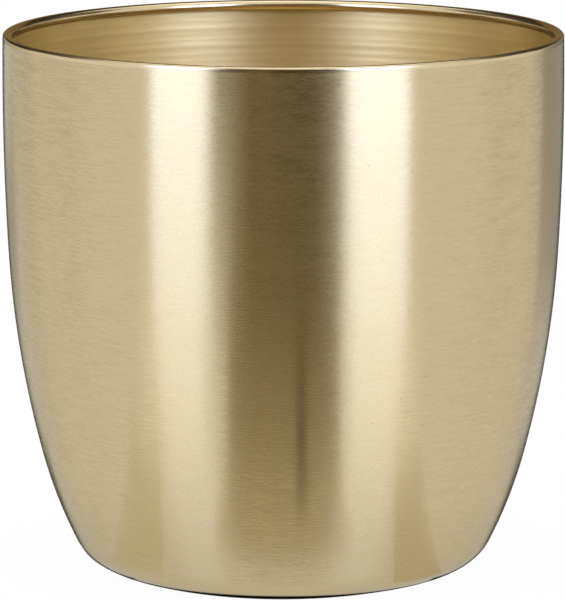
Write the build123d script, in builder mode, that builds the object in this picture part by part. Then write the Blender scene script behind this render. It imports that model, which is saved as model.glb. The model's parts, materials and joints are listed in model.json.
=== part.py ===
"""A round metal cachepot: one spun sheet body with a wired rim, standing on four stick-on pads.

Lengths are in millimetres and angles in degrees. +Z is up. The origin is the middle of the underside,
in the plane that the pads stand on. The front of the pot faces -Y.
"""

import os
from math import acos, cos, degrees, radians, sin

from build123d import *

os.makedirs("parts", exist_ok=True)

# Driving sizes of the sheet body
belly_diameter = 200.0
body_height = 192.2
sheet_thickness = 0.6
base_corner_radius = 17.3
lower_wall_radius = 166.0
middle_wall_radius = 365.0

# How far each stretch of the wall turns, from the flat foot ring up to the rim
base_corner_turn = 63.65
lower_wall_turn = 11.5
middle_wall_turn = 11.7
rim_lean = 1.03

# Wired rim: the sheet is curled inwards round a hoop of wire, and its cut edge comes back to the wall.
# Its outer corner is dressed tighter than the wire, which leaves a crisp edge.
rim_wire_diameter = 2.2
rim_wire_clearance = 0.2
rim_wire_end_gap = 1.0
rim_corner_radius = 1.1
rim_corner_turn = 90.0
rim_roll_turn = 200.0

# Pressed floor: the middle of the floor is raised, which leaves a flat foot ring round it
foot_ring_width = 16.0
floor_rise = 2.0
floor_bend_radius = 5.0

# Spinning grooves: the shallow tool path left on the inside of the wall, under the rim
groove_pitch = 3.05
groove_depth = 0.12
groove_crest_width = 0.25
groove_band_height = 28.5

# Stick-on pads under the foot ring
pad_count = 4
pad_diameter = 12.0
pad_thickness = 0.6
pad_side_taper = 12.0
first_pad_angle = 45.0


def arc_rise(radius, start_heading, end_heading):
    """Height gained along an arc between two headings, measured from straight outwards."""
    return radius * (cos(radians(start_heading)) - cos(radians(end_heading)))


def arc_reach(radius, start_heading, end_heading):
    """Distance outwards along an arc between two headings."""
    return radius * (sin(radians(end_heading)) - sin(radians(start_heading)))


# Headings of the wall at the joins between its arcs
belly_heading = 90.0
corner_heading = base_corner_turn
lower_heading = corner_heading + lower_wall_turn
middle_heading = lower_heading + middle_wall_turn
rim_heading = belly_heading + rim_lean
upper_wall_turn = rim_heading - middle_heading

# Rim curl, worked out from the wire that it holds
curl_inner_radius = rim_wire_diameter / 2 + rim_wire_clearance
curl_outer_radius = curl_inner_radius + sheet_thickness
rim_flat_width = curl_outer_radius - rim_corner_radius
curl_rise = rim_flat_width * cos(radians(rim_lean)) + rim_corner_radius * (1 - sin(radians(rim_lean)))

# The upper wall arc closes the height that the other stretches leave
underside_height = pad_thickness
curl_start_height = body_height - curl_rise
corner_rise = arc_rise(base_corner_radius, 0, corner_heading)
lower_rise = arc_rise(lower_wall_radius, corner_heading, lower_heading)
middle_rise = arc_rise(middle_wall_radius, lower_heading, middle_heading)
upper_rise = curl_start_height - corner_rise - lower_rise - middle_rise
upper_wall_radius = upper_rise / (cos(radians(middle_heading)) - cos(radians(rim_heading)))

# The foot ring's outer edge follows from the belly
foot_radius = (
    belly_diameter / 2
    - arc_reach(base_corner_radius, 0, corner_heading)
    - arc_reach(lower_wall_radius, corner_heading, lower_heading)
    - arc_reach(middle_wall_radius, lower_heading, middle_heading)
    - arc_reach(upper_wall_radius, middle_heading, belly_heading)
)
foot_ring_inner_radius = foot_radius - foot_ring_width

# The raised floor meets the foot ring in two opposite bends of one sheet
floor_bend_span = 2 * floor_bend_radius + sheet_thickness
floor_bend_turn = degrees(acos(1 - floor_rise / floor_bend_span))
floor_panel_radius = foot_ring_inner_radius - floor_bend_span * sin(radians(floor_bend_turn))

# Centres that more than one piece is placed from
upper_wall_start_height = underside_height + corner_rise + lower_rise + middle_rise
upper_wall_centre = (
    belly_diameter / 2 - upper_wall_radius,
    upper_wall_start_height + arc_rise(upper_wall_radius, middle_heading, belly_heading),
)
curl_centre = (
    upper_wall_centre[0] + (upper_wall_radius - curl_outer_radius) * cos(radians(rim_lean)),
    upper_wall_centre[1] + (upper_wall_radius - curl_outer_radius) * sin(radians(rim_lean)),
)

# Spinning grooves, as circles that dip into the inner face of the upper wall
inner_wall_radius = upper_wall_radius - sheet_thickness
groove_half_width = (groove_pitch - groove_crest_width) / 2
groove_radius = (groove_half_width**2 + groove_depth**2) / (2 * groove_depth)
groove_path_radius = inner_wall_radius + groove_depth - groove_radius
groove_count = int(groove_band_height / groove_pitch)
groove_step = degrees(groove_pitch / inner_wall_radius)
groove_start_angle = rim_lean - degrees(curl_outer_radius / inner_wall_radius) - groove_step / 2


def sheet_face(start_height, floor_bend, foot_bend, inset):
    """Traces one face of the sheet from the pot's axis to the cut edge inside the rim.

    start_height is the face's height on the axis, floor_bend and foot_bend are its radii in the two floor
    bends, and inset is how far the face lies inside the outer one.
    """
    panel = Line((0, start_height), (floor_panel_radius, start_height))
    down = JernArc(panel @ 1, panel % 1, floor_bend, -floor_bend_turn)
    level = JernArc(down @ 1, down % 1, foot_bend, floor_bend_turn)
    ring = PolarLine(level @ 1, foot_ring_width, direction=level % 1)
    corner = JernArc(ring @ 1, ring % 1, base_corner_radius - inset, base_corner_turn)
    lower = JernArc(corner @ 1, corner % 1, lower_wall_radius - inset, lower_wall_turn)
    middle = JernArc(lower @ 1, lower % 1, middle_wall_radius - inset, middle_wall_turn)
    upper = JernArc(middle @ 1, middle % 1, upper_wall_radius - inset, upper_wall_turn)
    side = PolarLine(upper @ 1, rim_flat_width, direction=upper % 1)
    edge = JernArc(side @ 1, side % 1, rim_corner_radius - inset, rim_corner_turn)
    top = PolarLine(edge @ 1, rim_flat_width, direction=edge % 1)
    return JernArc(top @ 1, top % 1, curl_outer_radius - inset, rim_roll_turn)


# Sheet body: floor, wall and rim in one piece of metal
with BuildPart() as pot_body:
    with BuildSketch(Plane.XZ):
        with BuildLine():
            outside = sheet_face(
                underside_height + floor_rise, floor_bend_radius, floor_bend_radius + sheet_thickness, 0
            )
            inside = sheet_face(
                underside_height + floor_rise + sheet_thickness,
                floor_bend_radius + sheet_thickness,
                floor_bend_radius,
                sheet_thickness,
            )
            Line(outside @ 1, inside @ 1)
            Line((0, underside_height + floor_rise), (0, underside_height + floor_rise + sheet_thickness))
        make_face()
        with Locations(upper_wall_centre):
            with PolarLocations(
                groove_path_radius,
                groove_count,
                start_angle=groove_start_angle,
                angular_range=-groove_step * groove_count,
                rotate=False,
            ):
                Circle(groove_radius, mode=Mode.SUBTRACT)
    revolve(axis=Axis.Z)
pot_body.part.label = "pot_body"
export_step(pot_body.part, "parts/pot_body.step")

# Rim wire: a hoop bent from straight wire, whose ends nearly meet at the back of the pot
rim_wire_gap_angle = degrees(rim_wire_end_gap / curl_centre[0])
with BuildPart() as rim_wire:
    with BuildSketch(Plane.YZ):
        with Locations(curl_centre):
            Circle(rim_wire_diameter / 2)
    revolve(axis=Axis.Z, revolution_arc=360 - rim_wire_gap_angle)
rim_wire.part.label = "rim_wire"
export_step(rim_wire.part, "parts/rim_wire.step")

# Foot pads: round tapered pads stuck to the middle of the foot ring
pad_ring_radius = foot_radius - foot_ring_width / 2
for number in range(pad_count):
    angle = radians(first_pad_angle + number * 360 / pad_count)
    pad_origin = (pad_ring_radius * cos(angle), pad_ring_radius * sin(angle), underside_height)
    with BuildPart() as foot_pad:
        with BuildSketch(Plane(origin=pad_origin)):
            Circle(pad_diameter / 2)
        extrude(amount=-pad_thickness, taper=pad_side_taper)
    foot_pad.part.label = f"foot_pad_{number + 1}"
    export_step(foot_pad.part, f"parts/foot_pad_{number + 1}.step")
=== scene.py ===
"""Brushed brass cachepot in a white studio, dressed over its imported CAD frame."""

import json
import logging
import math
from dataclasses import dataclass
from enum import Enum
from itertools import accumulate

import bpy
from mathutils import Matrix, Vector

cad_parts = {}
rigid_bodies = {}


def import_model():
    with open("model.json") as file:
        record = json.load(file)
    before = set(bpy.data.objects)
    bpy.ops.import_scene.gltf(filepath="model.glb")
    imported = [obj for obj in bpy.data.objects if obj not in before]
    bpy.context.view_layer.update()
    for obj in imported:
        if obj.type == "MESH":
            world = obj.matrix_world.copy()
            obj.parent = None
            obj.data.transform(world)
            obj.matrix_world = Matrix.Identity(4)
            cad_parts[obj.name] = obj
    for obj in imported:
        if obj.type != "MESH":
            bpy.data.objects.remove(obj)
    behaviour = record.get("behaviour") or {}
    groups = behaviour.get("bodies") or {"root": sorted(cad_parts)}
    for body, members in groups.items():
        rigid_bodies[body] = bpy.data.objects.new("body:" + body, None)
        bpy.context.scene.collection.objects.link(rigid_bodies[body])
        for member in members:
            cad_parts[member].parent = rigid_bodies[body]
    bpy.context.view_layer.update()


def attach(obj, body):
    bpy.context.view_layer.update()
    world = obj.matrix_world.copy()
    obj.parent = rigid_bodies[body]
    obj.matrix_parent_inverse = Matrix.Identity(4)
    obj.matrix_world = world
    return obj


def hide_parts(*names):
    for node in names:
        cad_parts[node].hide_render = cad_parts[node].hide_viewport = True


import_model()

log = logging.getLogger("cachepot")

MILLIMETRE = 0.001
FULL_TURN = 2.0 * math.pi
QUARTER_TURN = math.pi / 2.0
ORIGIN = (0.0, 0.0, 0.0)
WHITE = (1.0, 1.0, 1.0)
IMAGE_WIDTH = 565
IMAGE_HEIGHT = 600

# The tool's rings inside the wall, from the rim down, as uneven as a hand-held tool leaves them: each crest's
# depth below the top of the rim, and how far it stands inwards, in millimetres
TOOL_RINGS = (
    (5.2, 0.03), (7.3, 0.035), (10.4, 0.09), (12.4, 0.02), (14.5, 0.05), (16.9, 0.09), (20.0, 0.05),
    (22.6, 0.04), (25.9, 0.08), (29.2, 0.05), (32.1, 0.06), (35.6, 0.04), (38.4, 0.05), (41.9, 0.04),
    (45.0, 0.045), (48.6, 0.03), (51.7, 0.04), (55.3, 0.03), (58.8, 0.03), (62.9, 0.02), (67.2, 0.02),
    (72.0, 0.015), (77.5, 0.015),
)

Colour = tuple[float, float, float]


class BodyFinish(Enum):
    """How each stretch of the sheet was finished."""

    BRUSHED = 0
    SATIN = 1
    ROLLED = 2


# Helpers for work in the viewport's manner


def deselect_all() -> None:
    """Leaves object mode clean, with nothing selected."""
    if bpy.context.object and bpy.context.object.mode != "OBJECT":
        bpy.ops.object.mode_set(mode="OBJECT")
    bpy.ops.object.select_all(action="DESELECT")


def pick(piece: bpy.types.Object) -> None:
    """Makes a piece the active object and the only selected one.

    Args:
        piece: The piece to work on.
    """
    deselect_all()
    piece.select_set(True)
    bpy.context.view_layer.objects.active = piece


def apply_place() -> None:
    """Moves the selected object's place, turn and scale into its mesh."""
    bpy.ops.object.transform_apply(location=True, rotation=True, scale=True)


def spin_round(steps: int, angle: float, axis_height: float) -> None:
    """Spins all that is in view round the pot's axis, and leaves all of it selected.

    Args:
        steps: Number of faces in the turn.
        angle: The turn in radians.
        axis_height: 1 or -1, the end of the axis that the turn is seen from.
    """
    bpy.ops.mesh.select_all(action="SELECT")
    bpy.ops.mesh.spin(steps=steps, angle=angle, center=ORIGIN, axis=(0.0, 0.0, axis_height))
    bpy.ops.mesh.select_all(action="SELECT")


def finish_piece(piece: bpy.types.Object, name: str, smooth_below: float = 38.0) -> bpy.types.Object:
    """Names a piece, applies its place to its mesh and smooths its shading.

    Args:
        piece: The object that was just modelled.
        name: The name that the object and its mesh get.
        smooth_below: Angle in degrees under which neighbouring faces shade as one surface.

    Returns:
        The same object.
    """
    pick(piece)
    apply_place()
    bpy.ops.object.shade_smooth_by_angle(angle=math.radians(smooth_below))
    piece.name = name
    piece.data.name = name
    piece.select_set(False)
    return piece


class SectionLine:
    """Draws a section line in the XZ plane, one straight run or arc after another."""

    def __init__(self, reach: float, height: float, heading: float = 0.0) -> None:
        """Starts the line as a single vertex of the mesh that is being edited.

        Args:
            reach: Distance of the first point from the axis, in metres.
            height: Height of the first point, in metres.
            heading: Direction of the first stretch in degrees, from outwards towards up.
        """
        bpy.ops.mesh.primitive_plane_add(size=MILLIMETRE, location=ORIGIN)
        bpy.ops.mesh.merge(type="CENTER")
        bpy.ops.transform.translate(value=(reach, 0.0, height))
        self.point = Vector((reach, height))
        self.heading = math.radians(heading)

    def go_to(self, spot: Vector) -> None:
        """Extrudes an edge to a point.

        Args:
            spot: Distance from the axis and height, in metres.
        """
        step = spot - self.point
        bpy.ops.mesh.extrude_vertices_move(TRANSFORM_OT_translate={"value": (step.x, 0.0, step.y)})
        self.point = spot

    def run(self, length: float, edges: int = 1) -> None:
        """Extrudes a straight run along the present heading.

        Args:
            length: Length of the run in metres.
            edges: Number of edges in the run.
        """
        step = Vector((math.cos(self.heading), math.sin(self.heading))) * length / edges
        for _ in range(edges):
            self.go_to(self.point + step)

    def left_side(self) -> Vector:
        """Gives the direction to the left of the present heading."""
        return Vector((-math.sin(self.heading), math.cos(self.heading)))

    def arc_centre(self, radius: float, sign: float) -> Vector:
        """Gives the centre of an arc that leaves along the present heading.

        Args:
            radius: Radius of the arc in metres.
            sign: 1 where the arc turns left and -1 where it turns right.

        Returns:
            The centre's distance from the axis and height.
        """
        return self.point + self.left_side() * radius * sign

    def arc(self, radius: float, turn: float, edges: int) -> None:
        """Spins the end vertex along an arc that leaves along the present heading.

        Args:
            radius: Radius of the arc in metres.
            turn: Change of heading in degrees, positive to the left.
            edges: Number of edges in the arc.
        """
        sign = math.copysign(1.0, turn)
        centre = self.arc_centre(radius, sign)
        bpy.ops.mesh.spin(
            steps=edges,
            angle=math.radians(abs(turn)),
            center=(centre.x, 0.0, centre.y),
            axis=(0.0, sign, 0.0),
        )
        self.heading += math.radians(turn)
        self.point = centre - self.left_side() * radius * sign


@dataclass(frozen=True)
class Ring:
    """One ring that the spinning tool left on the inside of the wall.

    Attributes:
        depth: Distance of the ring's crest below the top of the rim, in metres.
        height: How far the crest stands inwards from the bottoms beside it, in metres.
        least_width: Half width of the faintest ring, in metres.
        width_share: How much the half width grows with the height.
    """

    depth: float
    height: float
    least_width: float = 0.0007
    width_share: float = 5.0

    def lift(self, depth: float) -> float:
        """Gives how far this ring alone lifts the inner face at one depth, in metres."""
        width = self.least_width + self.height * self.width_share
        return self.height * math.exp(-(((depth - self.depth) / width) ** 2))


@dataclass
class SheetBody:
    """The sheet metal body: pressed floor, curved wall and a rim rolled round a wire.

    Lengths are in metres and turns in degrees.
    """

    belly_radius: float = 0.1
    body_height: float = 0.1922
    underside_height: float = 0.0006
    thickness: float = 0.0006
    floor_rise: float = 0.002
    floor_bend_radius: float = 0.005
    foot_ring_width: float = 0.016
    corner_radius: float = 0.0173
    corner_turn: float = 63.65
    lower_radius: float = 0.166
    lower_turn: float = 11.5
    middle_radius: float = 0.365
    middle_turn: float = 11.7
    rim_lean: float = 1.03
    curl_radius: float = 0.0019
    rim_corner_radius: float = 0.0011
    rim_corner_turn: float = 90.0
    rim_roll_turn: float = 200.0
    spin_steps: int = 180
    ring_detail: float = 0.0004
    ring_tail: float = 0.004
    plain_edges: int = 10
    first_ring_depth: float = 0.0042
    ring_fade: float = 0.0008
    merge_distance: float = 0.000002

    def __post_init__(self) -> None:
        """Works out the lengths that the named ones leave open."""
        heading = list(accumulate((0.0, self.corner_turn, self.lower_turn, self.middle_turn)))
        heading.append(90.0 + self.rim_lean)
        self.upper_turn = heading[4] - heading[3]
        cosines = [math.cos(math.radians(angle)) for angle in heading]
        sines = [math.sin(math.radians(angle)) for angle in heading]
        radii = [self.corner_radius, self.lower_radius, self.middle_radius]
        lower_rise = sum(radius * (cosines[n] - cosines[n + 1]) for n, radius in enumerate(radii))
        lean = math.radians(self.rim_lean)
        self.rim_flat = self.curl_radius - self.rim_corner_radius
        curl_rise = self.rim_flat * math.cos(lean) + self.rim_corner_radius * (1.0 - math.sin(lean))
        curl_start = self.body_height - curl_rise
        self.upper_radius = (curl_start - lower_rise) / (cosines[3] - cosines[4])
        radii.append(self.upper_radius)
        wall_reach = sum(radius * (sines[n + 1] - sines[n]) for n, radius in enumerate(radii))
        curl_reach = self.belly_radius - self.upper_radius * (1.0 - sines[4])
        self.foot_radius = curl_reach - wall_reach
        span = 2.0 * self.floor_bend_radius + self.thickness
        self.floor_turn = math.degrees(math.acos(1.0 - self.floor_rise / span))
        floor_slope = span * math.sin(math.radians(self.floor_turn))
        self.panel_radius = self.foot_radius - self.foot_ring_width - floor_slope
        self.rim_top = self.underside_height + self.body_height
        self.wire_centre = (
            curl_reach - self.curl_radius * math.cos(lean),
            self.underside_height + curl_start - self.curl_radius * math.sin(lean),
        )

    def draw_outer_wall(self) -> SectionLine:
        """Draws the section's outer face from the axis out and up to where the rim rolls in.

        Returns:
            The line, ending where the curl starts.
        """
        line = SectionLine(0.0, self.underside_height + self.floor_rise)
        line.run(self.panel_radius, edges=4)
        line.arc(self.floor_bend_radius, -self.floor_turn, edges=6)
        line.arc(self.floor_bend_radius + self.thickness, self.floor_turn, edges=6)
        line.run(self.foot_ring_width, edges=2)
        line.arc(self.corner_radius, self.corner_turn, edges=26)
        line.arc(self.lower_radius, self.lower_turn, edges=12)
        line.arc(self.middle_radius, self.middle_turn, edges=16)
        line.arc(self.upper_radius, self.upper_turn, edges=20)
        return line

    def draw_curl(self, wall: SectionLine) -> SectionLine:
        """Draws the rolled rim: its outer face, the cut edge and its inner face.

        Args:
            wall: The outer wall's line, which ends where this one starts.

        Returns:
            The line, ending where the inner face leaves the curl.
        """
        line = SectionLine(wall.point.x, wall.point.y, math.degrees(wall.heading))
        line.run(self.rim_flat, edges=2)
        line.arc(self.rim_corner_radius, self.rim_corner_turn, edges=14)
        line.run(self.rim_flat, edges=2)
        line.arc(self.curl_radius, self.rim_roll_turn, edges=30)
        line.heading += QUARTER_TURN
        line.run(self.thickness)
        line.heading += QUARTER_TURN
        line.arc(self.curl_radius - self.thickness, -self.rim_roll_turn, edges=22)
        line.run(self.rim_flat)
        line.arc(self.rim_corner_radius - self.thickness, -self.rim_corner_turn, edges=8)
        line.run(self.rim_flat)
        return line

    def draw_inner_wall(self, curl: SectionLine) -> SectionLine:
        """Draws the section's inner face, from the curl down the wall and in to the axis.

        Args:
            curl: The curl's line, which ends where this one starts.

        Returns:
            The line, ending on the axis.
        """
        line = SectionLine(curl.point.x, curl.point.y, math.degrees(curl.heading))
        self.draw_ringed_wall(line)
        line.arc(self.middle_radius - self.thickness, -self.middle_turn, edges=16)
        line.arc(self.lower_radius - self.thickness, -self.lower_turn, edges=12)
        line.arc(self.corner_radius - self.thickness, -self.corner_turn, edges=24)
        line.run(self.foot_ring_width, edges=2)
        line.arc(self.floor_bend_radius, -self.floor_turn, edges=6)
        line.arc(self.floor_bend_radius + self.thickness, self.floor_turn, edges=6)
        line.run(line.point.x, edges=4)
        return line

    def draw_ringed_wall(self, line: SectionLine) -> None:
        """Draws the upper wall's inner face, with the tool's rings standing off it.

        Args:
            line: The inner face's line, ending where the rim's curl leaves the wall.
        """
        radius = self.upper_radius - self.thickness
        centre = line.arc_centre(radius, -1.0)
        length = math.radians(self.upper_turn) * radius
        rings = [Ring(depth * MILLIMETRE, height * MILLIMETRE) for depth, height in TOOL_RINGS]
        ringed = rings[-1].depth + self.ring_tail
        fine = round(ringed / self.ring_detail)
        places = [ringed * (number + 1) / fine for number in range(fine)]
        step = (length - ringed) / self.plain_edges
        places += [ringed + step * (number + 1) for number in range(self.plain_edges)]
        for place in places:
            angle = line.heading + QUARTER_TURN - place / radius
            along = Vector((math.cos(angle), math.sin(angle)))
            lift = self.ring_lift(rings, self.rim_top - (centre.y + radius * along.y))
            line.go_to(centre + along * (radius - lift))
        line.heading -= math.radians(self.upper_turn)

    def ring_lift(self, rings: list[Ring], depth: float) -> float:
        """Gives how far the inner face stands inwards at one depth.

        Args:
            rings: The rings, from the rim down.
            depth: Distance below the top of the rim, in metres.

        Returns:
            The distance inwards in metres, never below 0.
        """
        share = min(1.0, max(0.0, (depth - self.first_ring_depth) / self.ring_fade))
        return share * sum(ring.lift(depth) for ring in rings)

    def spin_stretch(self, piece: bpy.types.Object, finish: BodyFinish) -> None:
        """Spins the stretch of section in view once round the axis, gives it its finish and hides it.

        Args:
            piece: The body, in edit mode, with nothing else in view.
            finish: The finish that the new faces get.
        """
        spin_round(self.spin_steps, FULL_TURN, 1.0)
        piece.active_material_index = finish.value
        bpy.ops.object.material_slot_assign()
        bpy.ops.mesh.hide(unselected=False)

    def build(self, finishes: dict[BodyFinish, bpy.types.Material]) -> bpy.types.Object:
        """Spins the section's stretches into the closed body.

        Args:
            finishes: The material of each finish.

        Returns:
            The body.
        """
        deselect_all()
        bpy.ops.mesh.primitive_plane_add(size=MILLIMETRE, location=ORIGIN)
        piece = bpy.context.object
        for finish in BodyFinish:
            piece.data.materials.append(finishes[finish])
        bpy.ops.object.mode_set(mode="EDIT")
        bpy.ops.mesh.select_mode(type="VERT")
        bpy.ops.mesh.select_all(action="SELECT")
        bpy.ops.mesh.delete(type="VERT")
        wall = self.draw_outer_wall()
        self.spin_stretch(piece, BodyFinish.BRUSHED)
        curl = self.draw_curl(wall)
        self.spin_stretch(piece, BodyFinish.ROLLED)
        floor = self.draw_inner_wall(curl)
        self.spin_stretch(piece, BodyFinish.SATIN)
        log.info("body: section ends %.3f mm from the axis", floor.point.x / MILLIMETRE)
        bpy.ops.mesh.reveal()
        bpy.ops.mesh.select_all(action="SELECT")
        bpy.ops.mesh.remove_doubles(threshold=self.merge_distance)
        bpy.ops.mesh.normals_make_consistent(inside=False)
        return finish_piece(piece, "spun_body")


@dataclass
class RimHoop:
    """The wire that the rim is rolled round, open by a narrow gap at the back."""

    centre: tuple[float, float]
    wire_radius: float = 0.0011
    end_gap: float = 0.001
    section_points: int = 20
    spin_steps: int = 180

    def build(self) -> bpy.types.Object:
        """Spins a round section into the open hoop.

        Returns:
            The hoop.
        """
        deselect_all()
        bpy.ops.mesh.primitive_circle_add(
            vertices=self.section_points,
            radius=self.wire_radius,
            fill_type="NGON",
            location=(0.0, *self.centre),
            rotation=(0.0, QUARTER_TURN, 0.0),
        )
        piece = bpy.context.object
        apply_place()
        bpy.ops.object.mode_set(mode="EDIT")
        spin_round(self.spin_steps, FULL_TURN - self.end_gap / self.centre[0], -1.0)
        bpy.ops.mesh.normals_make_consistent(inside=False)
        return finish_piece(piece, "rim_hoop")


@dataclass
class FootPads:
    """The four stick-on pads under the flat ring of the base.

    The shares are of the pad's radius, and the dish's depth is a share of its thickness.
    """

    ring_radius: float
    thickness: float = 0.0006
    radius: float = 0.006
    taper: float = 12.0
    side_points: int = 56
    edge_round: float = 0.0002
    round_segments: int = 5
    sole_share: float = 0.22
    slope_share: float = 0.08
    dish_depth: float = 0.08
    first_angle: float = 45.0
    count: int = 4
    level_margin: float = 1e-6
    facing_down: float = -0.99

    def model_one(self) -> bpy.types.Object:
        """Models one pad on the axis: narrower below, with a rounded lower edge and a dished foot.

        Returns:
            The pad, standing on the floor at the origin.
        """
        deselect_all()
        bpy.ops.mesh.primitive_cylinder_add(
            vertices=self.side_points,
            radius=self.radius,
            depth=self.thickness,
            location=(0.0, 0.0, self.thickness / 2.0),
        )
        pad = bpy.context.object
        apply_place()
        self.select_foot(pad)
        narrower = 1.0 - self.thickness * math.tan(math.radians(self.taper)) / self.radius
        bpy.ops.transform.resize(value=(narrower, narrower, 1.0), center_override=ORIGIN)
        bpy.ops.mesh.bevel(offset=self.edge_round, segments=self.round_segments, affect="EDGES")
        self.select_foot(pad)
        bpy.ops.mesh.inset(thickness=self.radius * self.sole_share)
        bpy.ops.mesh.inset(thickness=self.radius * self.slope_share)
        bpy.ops.transform.translate(value=(0.0, 0.0, self.thickness * self.dish_depth))
        bpy.ops.object.mode_set(mode="OBJECT")
        return pad

    def select_foot(self, pad: bpy.types.Object) -> None:
        """Selects the lowest flat face in edit mode.

        Args:
            pad: The pad being modelled.
        """
        bpy.context.view_layer.objects.active = pad
        bpy.ops.object.mode_set(mode="EDIT")
        bpy.ops.mesh.select_mode(type="FACE")
        bpy.ops.mesh.select_all(action="DESELECT")
        bpy.ops.object.mode_set(mode="OBJECT")
        lowest = min(face.center.z for face in pad.data.polygons) + self.level_margin
        for face in pad.data.polygons:
            face.select = face.normal.z < self.facing_down and face.center.z < lowest
        bpy.ops.object.mode_set(mode="EDIT")

    def build(self) -> list[bpy.types.Object]:
        """Copies the pad to its four places.

        Returns:
            The pads, in the order of their CAD nodes.
        """
        master = self.model_one()
        pads = []
        for number in range(self.count):
            pick(master)
            bpy.ops.object.duplicate(linked=False)
            pad = bpy.context.object
            angle = math.radians(self.first_angle) + FULL_TURN * number / self.count
            pad.location = (self.ring_radius * math.cos(angle), self.ring_radius * math.sin(angle), 0.0)
            pads.append(finish_piece(pad, f"pad_{number + 1}"))
        bpy.data.objects.remove(master)
        return pads


# Nodes


class NodeWork:
    """Short calls for the nodes of one tree."""

    def __init__(self, tree: bpy.types.NodeTree) -> None:
        """Takes the tree to work in."""
        self.tree = tree

    def node(self, kind: str, **settings: object) -> bpy.types.Node:
        """Adds a node and sets its options.

        Args:
            kind: Type name of the node, without the word that shader nodes start with.
            **settings: Options by attribute name.

        Returns:
            The node.
        """
        made = self.tree.nodes.new(f"ShaderNode{kind}")
        for key, value in settings.items():
            setattr(made, key, value)
        return made

    def feed(self, target: bpy.types.NodeSocket, value: object) -> None:
        """Links a socket to an input, or sets the input where the value is plain.

        Args:
            target: The input.
            value: A socket, or a number, vector or colour.
        """
        if isinstance(value, bpy.types.NodeSocket):
            self.tree.links.new(value, target)
        else:
            target.default_value = value

    def place(self) -> bpy.types.NodeSocket:
        """Gives the place on the object that the material is on."""
        return self.node("TexCoord").outputs["Object"]

    def math(self, operation: str, *values: object) -> bpy.types.NodeSocket:
        """Adds a Math node.

        Args:
            operation: Name of the operation.
            *values: Socket or number for each input that the operation reads.

        Returns:
            The result's socket.
        """
        made = self.node("Math", operation=operation)
        for socket, value in zip(made.inputs, values):
            self.feed(socket, value)
        return made.outputs[0]

    def vector_math(self, operation: str, *values: object) -> bpy.types.Node:
        """Adds a Vector Math node.

        Args:
            operation: Name of the operation.
            *values: Socket or vector for each input that the operation reads.

        Returns:
            The node, whose outputs are Vector and Value.
        """
        made = self.node("VectorMath", operation=operation)
        for socket, value in zip(made.inputs, values):
            self.feed(socket, value)
        return made

    def map_range(
        self,
        value: bpy.types.NodeSocket,
        source: tuple[float, float] = (0.0, 1.0),
        target: tuple[float, float] = (0.0, 1.0),
        smooth: bool = False,
    ) -> bpy.types.NodeSocket:
        """Turns one range of a value into another, clamped at both ends.

        Args:
            value: Socket to read.
            source: The values where the result starts and stops changing.
            target: What these two values become.
            smooth: Whether the change starts and stops gently.

        Returns:
            The result's socket.
        """
        made = self.node("MapRange", interpolation_type="SMOOTHSTEP" if smooth else "LINEAR")
        self.feed(made.inputs["Value"], value)
        for name, number in zip(("From Min", "From Max", "To Min", "To Max"), (*source, *target)):
            made.inputs[name].default_value = number
        return made.outputs["Result"]

    def noise(
        self, place: bpy.types.NodeSocket, scale: float = 1.0, detail: float = 2.0, roughness: float = 0.5
    ) -> bpy.types.NodeSocket:
        """Adds a noise texture.

        Args:
            place: Vector socket.
            scale: Number of cells in a unit of the place.
            detail: Number of octaves.
            roughness: Weight of the finer octaves.

        Returns:
            The noise's value, about 0.5 on average.
        """
        made = self.node("TexNoise")
        self.feed(made.inputs["Vector"], place)
        made.inputs["Scale"].default_value = scale
        made.inputs["Detail"].default_value = detail
        made.inputs["Roughness"].default_value = roughness
        return made.outputs["Fac"]


# Shared shader effects


class EffectGroup(NodeWork):
    """Builds one shader node group with named inputs and outputs."""

    def __init__(self, name: str) -> None:
        """Makes the empty group.

        Args:
            name: Name of the group.
        """
        super().__init__(bpy.data.node_groups.new(name, "ShaderNodeTree"))
        self.enter = self.tree.nodes.new("NodeGroupInput")
        self.leave = self.tree.nodes.new("NodeGroupOutput")

    def value_in(self, name: str, default: float) -> bpy.types.NodeSocket:
        """Adds a number input.

        Args:
            name: Name of the input.
            default: Its value where a material sets none.

        Returns:
            The socket to read it from.
        """
        socket = self.tree.interface.new_socket(name=name, in_out="INPUT", socket_type="NodeSocketFloat")
        socket.default_value = default
        return self.enter.outputs[name]

    def value_out(self, name: str, source: bpy.types.NodeSocket) -> None:
        """Adds a number output fed by the given socket."""
        self.tree.interface.new_socket(name=name, in_out="OUTPUT", socket_type="NodeSocketFloat")
        self.tree.links.new(source, self.leave.inputs[name])

    def turned_noise(
        self, around: object, along: object, wander: float, drift: float = 0.0, roughness: float = 0.5
    ) -> bpy.types.NodeSocket:
        """Adds noise that runs slowly round the axis and fast along the section.

        Args:
            around: How many cells a radian round the axis holds.
            along: How many cells a metre of the section holds.
            wander: How far, in metres, the lines stray up and down as they go round.
            drift: Shift of the whole pattern, in metres.
            roughness: Weight of the noise's finer octave.

        Returns:
            The noise's value.
        """
        place = self.place()
        split = self.node("SeparateXYZ")
        self.feed(split.inputs[0], place)
        x, y, z = split.outputs
        reach = self.math("SQRT", self.math("ADD", self.math("MULTIPLY", x, x), self.math("MULTIPLY", y, y)))
        off_axis = self.math("MAXIMUM", reach, MILLIMETRE)
        section = self.math("ADD", self.math("ADD", reach, z), drift)
        moved = self.vector_math("ADD", place, (drift, drift, drift)).outputs["Vector"]
        sway = self.noise(moved, scale=38.0, detail=1.0)
        section = self.math("ADD", section, self.math("MULTIPLY", sway, wander))
        join = self.node("CombineXYZ")
        for side, socket in zip((x, y), join.inputs):
            self.feed(socket, self.math("MULTIPLY", self.math("DIVIDE", side, off_axis), around))
        self.feed(join.inputs["Z"], self.math("MULTIPLY", section, along))
        return self.noise(join.outputs[0], roughness=roughness)


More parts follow.
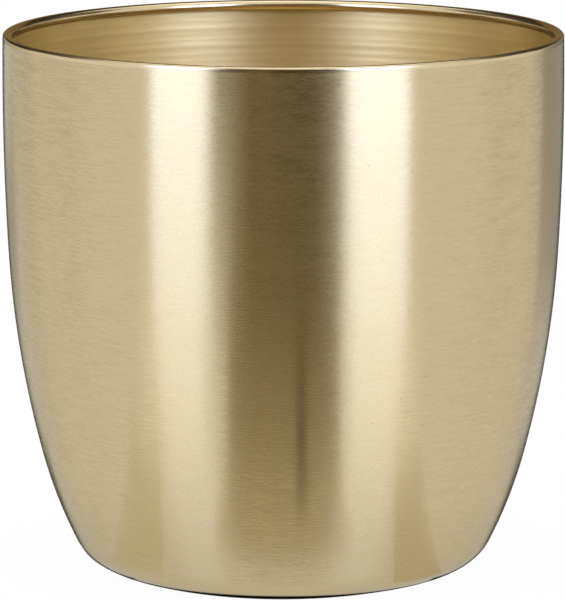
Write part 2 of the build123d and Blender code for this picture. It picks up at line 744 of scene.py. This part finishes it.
def brush_lines_group() -> bpy.types.NodeTree:
    """Builds the effect of short fine lines brushed round a turned surface.

    Returns:
        The group, with outputs Lines and Patches from 0 to 1, and Height in millimetres.
    """
    group = EffectGroup("brush_lines")
    around = group.value_in("Lines per Radian", 20.0)
    along = group.value_in("Lines per Metre", 2400.0)
    depth = group.value_in("Line Depth", 0.01)
    waviness = group.value_in("Waviness", 0.02)
    level = group.turned_noise(around, along, 0.004, roughness=0.6)
    crossing = group.turned_noise(around, along, -0.009, 0.37, 0.6)
    long_around = group.math("MULTIPLY", around, 0.3)
    long_along = group.math("MULTIPLY", along, 0.45)
    long_lines = group.turned_noise(long_around, long_along, 0.002, 0.71)
    pair = group.math("ADD", group.math("MULTIPLY", level, 0.4), group.math("MULTIPLY", crossing, 0.3))
    lines = group.math("ADD", pair, group.math("MULTIPLY", long_lines, 0.3))
    patch_around = group.math("MULTIPLY", around, 0.35)
    patch_along = group.math("MULTIPLY", along, 0.1)
    patches = group.turned_noise(patch_around, patch_along, 0.004, 0.13)
    group.value_out("Lines", group.map_range(lines, (0.36, 0.64)))
    group.value_out("Patches", group.map_range(patches, (0.3, 0.7)))
    fine_height = group.math("MULTIPLY", lines, depth)
    wide_height = group.math("MULTIPLY", patches, waviness)
    group.value_out("Height", group.math("ADD", fine_height, wide_height))
    return group.tree


def handling_marks_group() -> bpy.types.NodeTree:
    """Builds the effect of fine pits and dust that gather in patches.

    Returns:
        The group, with outputs Pits and Smudge from 0 to 1.
    """
    group = EffectGroup("handling_marks")
    cells_per_metre = group.value_in("Pits per Metre", 620.0)
    size = group.value_in("Pit Size", 0.16)
    place = group.place()
    smudge = group.noise(place, scale=26.0, detail=3.0)
    gathered = group.map_range(smudge, (0.5, 0.72))
    cells = group.node("TexVoronoi", feature="F1")
    group.feed(cells.inputs["Vector"], place)
    group.feed(cells.inputs["Scale"], cells_per_metre)
    chosen = group.node("SeparateColor")
    group.feed(chosen.inputs[0], cells.outputs["Color"])
    limit = group.math("SUBTRACT", 1.0, group.math("MULTIPLY", gathered, 0.14))
    rare = group.math("GREATER_THAN", chosen.outputs["Red"], limit)
    near = group.math("LESS_THAN", cells.outputs["Distance"], size)
    group.value_out("Pits", group.math("MULTIPLY", rare, near))
    group.value_out("Smudge", group.map_range(smudge, (0.35, 0.7)))
    return group.tree


# Finishes


class Finish(NodeWork):
    """A material under construction, with short calls for its shader."""

    def __init__(self, name: str) -> None:
        """Makes a material with only its output and a Principled shader.

        Args:
            name: Name of the material.
        """
        self.material = bpy.data.materials.new(name)
        self.material.use_nodes = True
        super().__init__(self.material.node_tree)
        self.shader = self.tree.nodes["Principled BSDF"]

    def effect(self, tree: bpy.types.NodeTree, **values: float) -> bpy.types.Node:
        """Places a shared effect with its own values.

        Args:
            tree: The node group.
            **values: Input values, with underscores for the spaces in their names.

        Returns:
            The group's node.
        """
        made = self.node("Group", node_tree=tree)
        for key, value in values.items():
            made.inputs[key.replace("_", " ")].default_value = value
        return made

    def shade(self, name: str, value: object) -> None:
        """Feeds an input of the shader with a socket or a plain value."""
        self.feed(self.shader.inputs[name], value)

    def blend(self, factor: bpy.types.NodeSocket, low: object, high: object) -> bpy.types.NodeSocket:
        """Blends two colours.

        Args:
            factor: Socket that chooses between them.
            low: Colour or socket at 0.
            high: Colour or socket at 1.

        Returns:
            The colour's socket.
        """
        made = self.node("Mix", data_type="RGBA")
        self.feed(made.inputs[0], factor)
        for socket, value in zip(made.inputs[6:8], (low, high)):
            self.feed(socket, value if isinstance(value, bpy.types.NodeSocket) else (*value, 1.0))
        return made.outputs[2]

    def bump(self, height: bpy.types.NodeSocket, strength: float, distance: float) -> None:
        """Feeds a height to the shader's normal.

        Args:
            height: Socket with the height.
            strength: Strength of the bump.
            distance: Height in metres of a value of 1.
        """
        made = self.node("Bump")
        made.inputs["Strength"].default_value = strength
        made.inputs["Distance"].default_value = distance
        self.feed(made.inputs["Height"], height)
        self.shade("Normal", made.outputs["Normal"])


@dataclass(frozen=True)
class TurnedMetal:
    """Metal that was finished while it turned, so that its grain runs round the axis."""

    name: str
    light_tone: Colour
    dark_tone: Colour
    roughness: float
    line_spread: float
    patch_spread: float
    anisotropy: float
    lines_per_radian: float
    lines_per_metre: float
    line_depth: float
    waviness: float
    edge_tint: float = 1.0
    pit_tone: Colour = (0.4, 0.32, 0.2)
    smooth_height: float = 0.0
    smooth_share: float = 1.0

    def build(self, lines: bpy.types.NodeTree, marks: bpy.types.NodeTree) -> bpy.types.Material:
        """Makes the material.

        Args:
            lines: The brush lines effect.
            marks: The handling marks effect.

        Returns:
            The material.
        """
        finish = Finish(self.name)
        grain = finish.effect(
            lines,
            Lines_per_Radian=self.lines_per_radian,
            Lines_per_Metre=self.lines_per_metre,
            Line_Depth=self.line_depth,
            Waviness=self.waviness,
        )
        wear = finish.effect(marks)
        tone = finish.blend(grain.outputs["Lines"], self.dark_tone, self.light_tone)
        finish.shade("Base Color", finish.blend(wear.outputs["Pits"], tone, self.pit_tone))
        half_line, half_patch = self.line_spread / 2.0, self.patch_spread / 2.0
        line_range = (self.roughness + half_line, self.roughness - half_line)
        fine = finish.map_range(grain.outputs["Lines"], target=line_range)
        broad = finish.map_range(grain.outputs["Patches"], target=(-half_patch, half_patch))
        finish.shade("Roughness", self.smooth_foot(finish, finish.math("ADD", fine, broad)))
        finish.shade("Metallic", 1.0)
        finish.shade("Specular Tint", (self.edge_tint,) * 3 + (1.0,))
        finish.shade("Anisotropic", self.anisotropy)
        finish.shade("Anisotropic Rotation", 0.25)
        tangent = finish.node("Tangent", direction_type="RADIAL", axis="Z")
        finish.shade("Tangent", tangent.outputs["Tangent"])
        finish.bump(grain.outputs["Height"], 1.0, MILLIMETRE)
        return finish.material

    def smooth_foot(self, finish: Finish, roughness: bpy.types.NodeSocket) -> bpy.types.NodeSocket:
        """Makes the metal smoother where it turns under, out of the brush's reach.

        Args:
            finish: The material under construction.
            roughness: The roughness that the brush leaves.

        Returns:
            The roughness at every height.
        """
        if self.smooth_height == 0.0:
            return roughness
        split = finish.node("SeparateXYZ")
        finish.feed(split.inputs[0], finish.place())
        change = (self.smooth_height / 3.0, self.smooth_height)
        share = finish.map_range(split.outputs["Z"], change, (self.smooth_share, 1.0), smooth=True)
        return finish.math("MULTIPLY", roughness, share)


@dataclass(frozen=True)
class PadRubber:
    """Matt black rubber with a fine grain."""

    name: str = "pad_rubber"
    colour: Colour = (0.02, 0.02, 0.021)
    worn: Colour = (0.045, 0.043, 0.04)
    roughness: tuple[float, float] = (0.62, 0.8)
    grains_per_metre: float = 2600.0
    grain_depth: float = 0.00005

    def build(self, marks: bpy.types.NodeTree) -> bpy.types.Material:
        """Makes the material.

        Args:
            marks: The handling marks effect.

        Returns:
            The material.
        """
        finish = Finish(self.name)
        smudge = finish.effect(marks).outputs["Smudge"]
        finish.shade("Base Color", finish.blend(smudge, self.colour, self.worn))
        finish.shade("Roughness", finish.map_range(smudge, target=self.roughness))
        grain = finish.noise(finish.place(), scale=self.grains_per_metre)
        finish.bump(grain, 0.5, self.grain_depth)
        return finish.material


BRUSHED_OUTSIDE = TurnedMetal(
    name="brushed_outside",
    light_tone=(0.597, 0.492, 0.288),
    dark_tone=(0.578, 0.473, 0.272),
    roughness=0.28,
    line_spread=0.12,
    patch_spread=0.03,
    anisotropy=1.0,
    lines_per_radian=24.0,
    lines_per_metre=2100.0,
    line_depth=0.026,
    waviness=0.03,
    edge_tint=0.72,
    smooth_height=0.01,
    smooth_share=0.3,
)
SATIN_INSIDE = TurnedMetal(
    name="satin_inside",
    light_tone=(0.87, 0.7, 0.345),
    dark_tone=(0.8, 0.63, 0.285),
    roughness=0.46,
    line_spread=0.08,
    patch_spread=0.04,
    anisotropy=0.75,
    lines_per_radian=8.0,
    lines_per_metre=1600.0,
    line_depth=0.006,
    waviness=0.02,
    pit_tone=(0.68, 0.54, 0.27),
)
ROLLED_RIM = TurnedMetal(
    name="rolled_rim",
    light_tone=(0.68, 0.57, 0.35),
    dark_tone=(0.6, 0.49, 0.28),
    roughness=0.2,
    line_spread=0.05,
    patch_spread=0.03,
    anisotropy=0.3,
    lines_per_radian=10.0,
    lines_per_metre=3000.0,
    line_depth=0.002,
    waviness=0.01,
    edge_tint=0.42,
)
DRAWN_STEEL = TurnedMetal(
    name="drawn_steel",
    light_tone=(0.6, 0.6, 0.59),
    dark_tone=(0.45, 0.45, 0.44),
    roughness=0.3,
    line_spread=0.1,
    patch_spread=0.06,
    anisotropy=0.3,
    lines_per_radian=12.0,
    lines_per_metre=5000.0,
    line_depth=0.002,
    waviness=0.0,
    pit_tone=(0.3, 0.22, 0.16),
)


@dataclass
class Cachepot:
    """The whole pot: the body, the wire in its rim and the pads that it stands on."""

    body: SheetBody

    def build(self) -> list[bpy.types.Object]:
        """Models and dresses every piece, and ties each one to the frame.

        Returns:
            The pieces.
        """
        lines, marks = brush_lines_group(), handling_marks_group()
        finishes = {
            BodyFinish.BRUSHED: BRUSHED_OUTSIDE.build(lines, marks),
            BodyFinish.SATIN: SATIN_INSIDE.build(lines, marks),
            BodyFinish.ROLLED: ROLLED_RIM.build(lines, marks),
        }
        wire_steel = DRAWN_STEEL.build(lines, marks)
        rubber = PadRubber().build(marks)

        shell = self.body.build(finishes)
        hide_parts("pot_body")

        hoop = RimHoop(centre=self.body.wire_centre).build()
        hoop.data.materials.append(wire_steel)
        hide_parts("rim_wire")

        pad_ring = self.body.foot_radius - self.body.foot_ring_width / 2.0
        pads = FootPads(ring_radius=pad_ring).build()
        for number, pad in enumerate(pads, start=1):
            pad.data.materials.append(rubber)
            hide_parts(f"foot_pad_{number}")

        pieces = [shell, hoop, *pads]
        for piece in pieces:
            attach(piece, "root")
            log.info("%s rides on root: %d faces", piece.name, len(piece.data.polygons))
        return pieces


# Studio


def studio_place(azimuth: float, distance: float, height: float) -> Vector:
    """Gives a place in the studio.

    Args:
        azimuth: Angle in degrees from the front, positive to the right of the camera's view.
        distance: Distance from the pot's axis, in metres.
        height: Height above the floor, in metres.

    Returns:
        The place.
    """
    angle = math.radians(azimuth)
    return Vector((math.sin(angle) * distance, -math.cos(angle) * distance, height))


@dataclass
class Softbox:
    """A rectangular soft light that faces the pot."""

    name: str
    azimuth: float
    distance: float
    centre_height: float
    width: float
    height: float
    radiance: float
    tint: Colour = WHITE
    target_height: float = 0.1

    def build(self) -> None:
        """Hangs the light."""
        lamp = bpy.data.lights.new(self.name, "AREA")
        lamp.shape = "RECTANGLE"
        lamp.size = self.width
        lamp.size_y = self.height
        lamp.color = self.tint
        lamp.energy = self.radiance * math.pi * self.width * self.height
        holder = bpy.data.objects.new(self.name, lamp)
        bpy.context.scene.collection.objects.link(holder)
        holder.location = studio_place(self.azimuth, self.distance, self.centre_height)
        aim = Vector((0.0, 0.0, self.target_height)) - holder.location
        holder.rotation_euler = aim.to_track_quat("-Z", "Y").to_euler()
        holder.visible_camera = False


class StagePaint(NodeWork):
    """A material for the studio, empty at first."""

    def __init__(self, name: str) -> None:
        """Makes the empty material.

        Args:
            name: Name of the material.
        """
        self.material = bpy.data.materials.new(name)
        self.material.use_nodes = True
        super().__init__(self.material.node_tree)
        self.tree.nodes.clear()

    def glow(self, tone: Colour, strength: object = 1.0) -> bpy.types.NodeSocket:
        """Adds an even glow.

        Args:
            tone: Colour of the glow.
            strength: Socket or number for its strength.

        Returns:
            The shader's socket.
        """
        made = self.node("Emission")
        made.inputs["Color"].default_value = (*tone, 1.0)
        self.feed(made.inputs["Strength"], strength)
        return made.outputs[0]

    def cover(self, piece: bpy.types.Object, shader: bpy.types.NodeSocket) -> None:
        """Ends the material with a shader and puts it on a piece of the studio."""
        self.feed(self.node("OutputMaterial").inputs["Surface"], shader)
        piece.data.materials.append(self.material)


@dataclass
class Flag:
    """A dark, tan or pale card, or a pool of painted light, that only reflections see.

    A lying card is near_share as wide at the end nearer the pot as at its other end.
    """

    name: str
    azimuth: float
    distance: float
    centre_height: float
    width: float
    height: float
    tone: Colour
    lying: bool = False
    near_share: float = 1.0

    def build(self) -> None:
        """Stands the card up, or lays it on the floor."""
        deselect_all()
        tilt = 0.0 if self.lying else QUARTER_TURN
        bpy.ops.mesh.primitive_plane_add(
            size=1.0,
            location=studio_place(self.azimuth, self.distance, self.centre_height),
            rotation=(tilt, 0.0, math.radians(self.azimuth)),
        )
        card = bpy.context.object
        card.name = self.name
        card.scale = (self.width, self.height, 1.0)
        for corner in card.data.vertices:
            if corner.co.y > 0.0:
                corner.co.x *= self.near_share
        deselect_all()
        paint = StagePaint(self.name)
        paint.cover(card, paint.glow(self.tone))
        card.visible_camera = False
        card.visible_diffuse = False
        card.visible_shadow = False
        card.visible_transmission = False


@dataclass
class Studio:
    """White studio: floor, surround, soft lights and cards.

    The floor is white from clear_radius out. Round the foot lies an ellipse, shifted back from the axis, inside
    which the floor is in shade. What reflections see of the floor is painted shade: black out to a little
    outside the ellipse, and darkened from shade_radius out to the radius where it is fully white again.
    """

    diffuse_level: float = 0.8
    floor_colour: Colour = (0.9, 0.84, 0.7)
    near_white: float = 0.97
    shade_radius: float = 0.0632
    clear_radius: float = 0.15
    foot_half_width: float = 0.0748
    foot_half_depth: float = 0.1005
    foot_shift: tuple[float, float, float] = (-0.0005, 0.04, 0.0)
    contact_edge: float = 0.003
    painted_shade_share: float = 1.046
    painted_shade_edge: float = 0.015
    painted_shade_end_radius: float = 0.13
    painted_shade_level: float = 0.84
    floor_size: float = 16.0

    def build(self) -> None:
        """Sets up everything round the pot."""
        self.build_world()
        self.build_floor()
        lights = [
            Softbox("softbox_right", 38.0, 1.3, 0.62, 0.64, 1.15, 4.7, (0.44, 0.57, 1.0)),
            Softbox("softbox_left", -41.6, 1.3, 0.62, 0.59, 1.15, 4.3, (0.44, 0.57, 1.0)),
            Softbox("softbox_top", 180.0, 0.25, 1.5, 1.1, 0.9, 0.8),
        ]
        cards = [
            Flag("card_front_left", -19.4, 1.0, 0.5, 0.275, 1.0, (0.09, 0.055, 0.005)),
            Flag("card_front_middle", -8.0, 1.0, 0.45, 0.14, 0.9, (0.17, 0.12, 0.035)),
            Flag("card_front_right", 9.3, 1.0, 0.4, 0.478, 0.8, (0.06, 0.042, 0.005)),
            Flag("card_front_floor", 0.6, 0.665, 0.0015, 0.42, 0.67, (0.185, 0.145, 0.07), True, 0.69),
            Flag("card_near_floor", 0.2, 0.245, 0.0015, 0.234, 0.17, (0.4, 0.35, 0.22), True, 0.5),
            Flag("card_base_floor", 0.0, 0.125, 0.001, 0.11, 0.07, (0.66, 0.61, 0.45), True, 0.7),
            Flag("card_stand_leg", 6.3, 0.2, 0.002, 0.01, 0.13, (0.1, 0.08, 0.04), lying=True),
            Flag("card_left_floor", -51.5, 0.125, 0.001, 0.034, 0.095, (0.79, 0.77, 0.62), lying=True),
            Flag("card_right_floor", 45.0, 0.11, 0.001, 0.026, 0.08, (0.74, 0.69, 0.56), lying=True),
            # Painted light: two pools brighter than white on the floor where the softboxes' light falls, seen
            # only by reflections.
            Flag("card_left_painted_light_pool", -41.4, 0.42, 0.0005, 0.197, 0.5, (1.32, 1.32, 1.3), True, 0.45),
            Flag("card_right_painted_light_pool", 37.3, 0.42, 0.0005, 0.196, 0.5, (1.32, 1.32, 1.3), True, 0.45),
            Flag("card_back", 180.0, 1.2, 1.0, 0.88, 2.0, (0.01, 0.01, 0.01)),
            Flag("card_back_rim", 180.0, 1.15, 0.4, 0.8, 0.44, (0.5, 0.34, 0.14)),
            Flag("card_back_wide", 180.0, 1.4, 1.125, 4.5, 1.55, (0.06, 0.055, 0.05)),
            Flag("card_back_right", 136.2, 0.5, 0.15, 0.27, 0.3, (0.56, 0.54, 0.52)),
            Flag("card_back_left", -144.0, 0.5, 0.045, 0.14, 0.09, (0.6, 0.58, 0.55)),
            Flag("card_side_right", 112.0, 1.3, 1.05, 0.9, 1.1, (0.16, 0.14, 0.12)),
            Flag("card_side_left", -112.0, 1.3, 1.05, 0.9, 1.1, (0.16, 0.14, 0.12)),
            Flag("card_back_floor", 180.0, 1.0, 0.001, 1.39, 1.8, (0.01, 0.01, 0.01), True, 0.198),
            # Painted shadow: a black card lying under and just behind the pot, where its shadow falls, seen
            # only by reflections.
            Flag("card_painted_shade_under_pot", 180.0, 0.0335, 0.0003, 0.294, 0.147, (0.01, 0.01, 0.01), True, 0.371),
        ]
        for fitting in (*lights, *cards):
            fitting.build()
            log.info("studio: %s", fitting.name)

    def build_world(self) -> None:
        """Makes the surround white to the camera and to reflections, and softer to matt surfaces."""
        world = bpy.data.worlds.new("studio_surround")
        bpy.context.scene.world = world
        world.use_nodes = True
        work = NodeWork(world.node_tree)
        work.tree.nodes.clear()
        seen = self.seen_test(work, work.node("LightPath"))
        sky = work.node("Background")
        sky.inputs["Color"].default_value = (*WHITE, 1.0)
        work.feed(sky.inputs["Strength"], work.map_range(seen, target=(self.diffuse_level, 1.0)))
        work.feed(work.node("OutputWorld").inputs["Surface"], sky.outputs[0])

    @staticmethod
    def seen_test(work: NodeWork, path: bpy.types.Node) -> bpy.types.NodeSocket:
        """Adds the test for a ray that the camera, a reflection or clear glass sends out.

        Args:
            work: The tree to add the nodes to.
            path: Its Light Path node.

        Returns:
            A socket that is 1 for such a ray and 0 for others.
        """
        bounced = work.math("MAXIMUM", path.outputs["Is Camera Ray"], path.outputs["Is Glossy Ray"])
        return work.math("MAXIMUM", bounced, path.outputs["Is Transmission Ray"])

    def build_floor(self) -> None:
        """Lays a pale floor that keeps the pot's shadow, turns pure white further out and shows painted shade
        round the foot to reflections.
        """
        deselect_all()
        bpy.ops.mesh.primitive_plane_add(size=self.floor_size, location=ORIGIN)
        floor = bpy.context.object
        floor.name = "studio_floor"
        deselect_all()
        paint = StagePaint("studio_floor")
        place = paint.place()
        path = paint.node("LightPath")
        glossy = path.outputs["Is Glossy Ray"]
        reach = paint.vector_math("LENGTH", place).outputs["Value"]
        shifted = paint.vector_math("SUBTRACT", place, self.foot_shift).outputs["Vector"]
        foot_size = (self.foot_half_width, self.foot_half_depth, 1.0)
        squeezed = paint.vector_math("DIVIDE", shifted, foot_size).outputs["Vector"]
        foot = paint.vector_math("LENGTH", squeezed).outputs["Value"]

        shade = (self.shade_radius, self.clear_radius)
        far = paint.map_range(reach, shade, (self.near_white, 1.0), smooth=True)
        contact = paint.map_range(foot, (1.0 - self.contact_edge, 1.0 + self.contact_edge))
        lit = paint.math("MULTIPLY", far, contact)
        white_part = paint.math("MULTIPLY", lit, self.seen_test(paint, path))
        glowing = paint.math("MAXIMUM", white_part, glossy)

        # Painted shade for reflections: the floor glows black under the pot and a little beyond, and dimmer
        # near the foot.
        painted_shade_span = (self.painted_shade_share, self.painted_shade_share + self.painted_shade_edge)
        outside_painted_shade = paint.map_range(foot, painted_shade_span, smooth=True)
        painted_shade_fade = paint.map_range(reach, (self.shade_radius, self.painted_shade_end_radius), (self.painted_shade_level, 1.0))
        painted_shade = paint.math("SUBTRACT", 1.0, paint.math("MULTIPLY", outside_painted_shade, painted_shade_fade))
        level = paint.math("SUBTRACT", 1.0, paint.math("MULTIPLY", painted_shade, glossy))

        matt = paint.node("BsdfDiffuse")
        matt.inputs["Color"].default_value = (*self.floor_colour, 1.0)
        mixed = paint.node("MixShader")
        for socket, value in zip(mixed.inputs, (glowing, matt.outputs[0], paint.glow(WHITE, level))):
            paint.feed(socket, value)
        paint.cover(floor, mixed.outputs[0])


@dataclass
class ViewCamera:
    """The camera at the photograph's place, fitted to the pot's outline."""

    distance: float = 1.6971
    height: float = 0.4001
    pitch: float = 10.1667
    focal_pixels: float = 4797.5
    axis_pixel: float = 283.379
    sensor: float = 36.0
    clip: tuple[float, float] = (0.05, 60.0)

    def build(self) -> None:
        """Places the camera and makes it the scene's own."""
        lens = bpy.data.cameras.new("view_camera")
        lens.sensor_fit = "AUTO"
        lens.sensor_width = self.sensor
        lens.lens = self.focal_pixels / IMAGE_HEIGHT * self.sensor
        lens.shift_x = (IMAGE_WIDTH / 2.0 - self.axis_pixel) / IMAGE_HEIGHT
        lens.clip_start, lens.clip_end = self.clip
        holder = bpy.data.objects.new("view_camera", lens)
        bpy.context.scene.collection.objects.link(holder)
        holder.location = (0.0, -self.distance, self.height)
        holder.rotation_euler = (math.radians(90.0 - self.pitch), 0.0, 0.0)
        bpy.context.scene.camera = holder


def main() -> None:
    """Builds the camera, the studio and the pot, in that order."""
    logging.basicConfig(level=logging.INFO, format="%(name)s: %(message)s")
    bpy.context.scene.view_settings.view_transform = "Standard"
    ViewCamera().build()
    Studio().build()
    pieces = Cachepot(body=SheetBody()).build()
    log.info("%d pieces dressed", len(pieces))


if __name__ == "__main__":
    main()
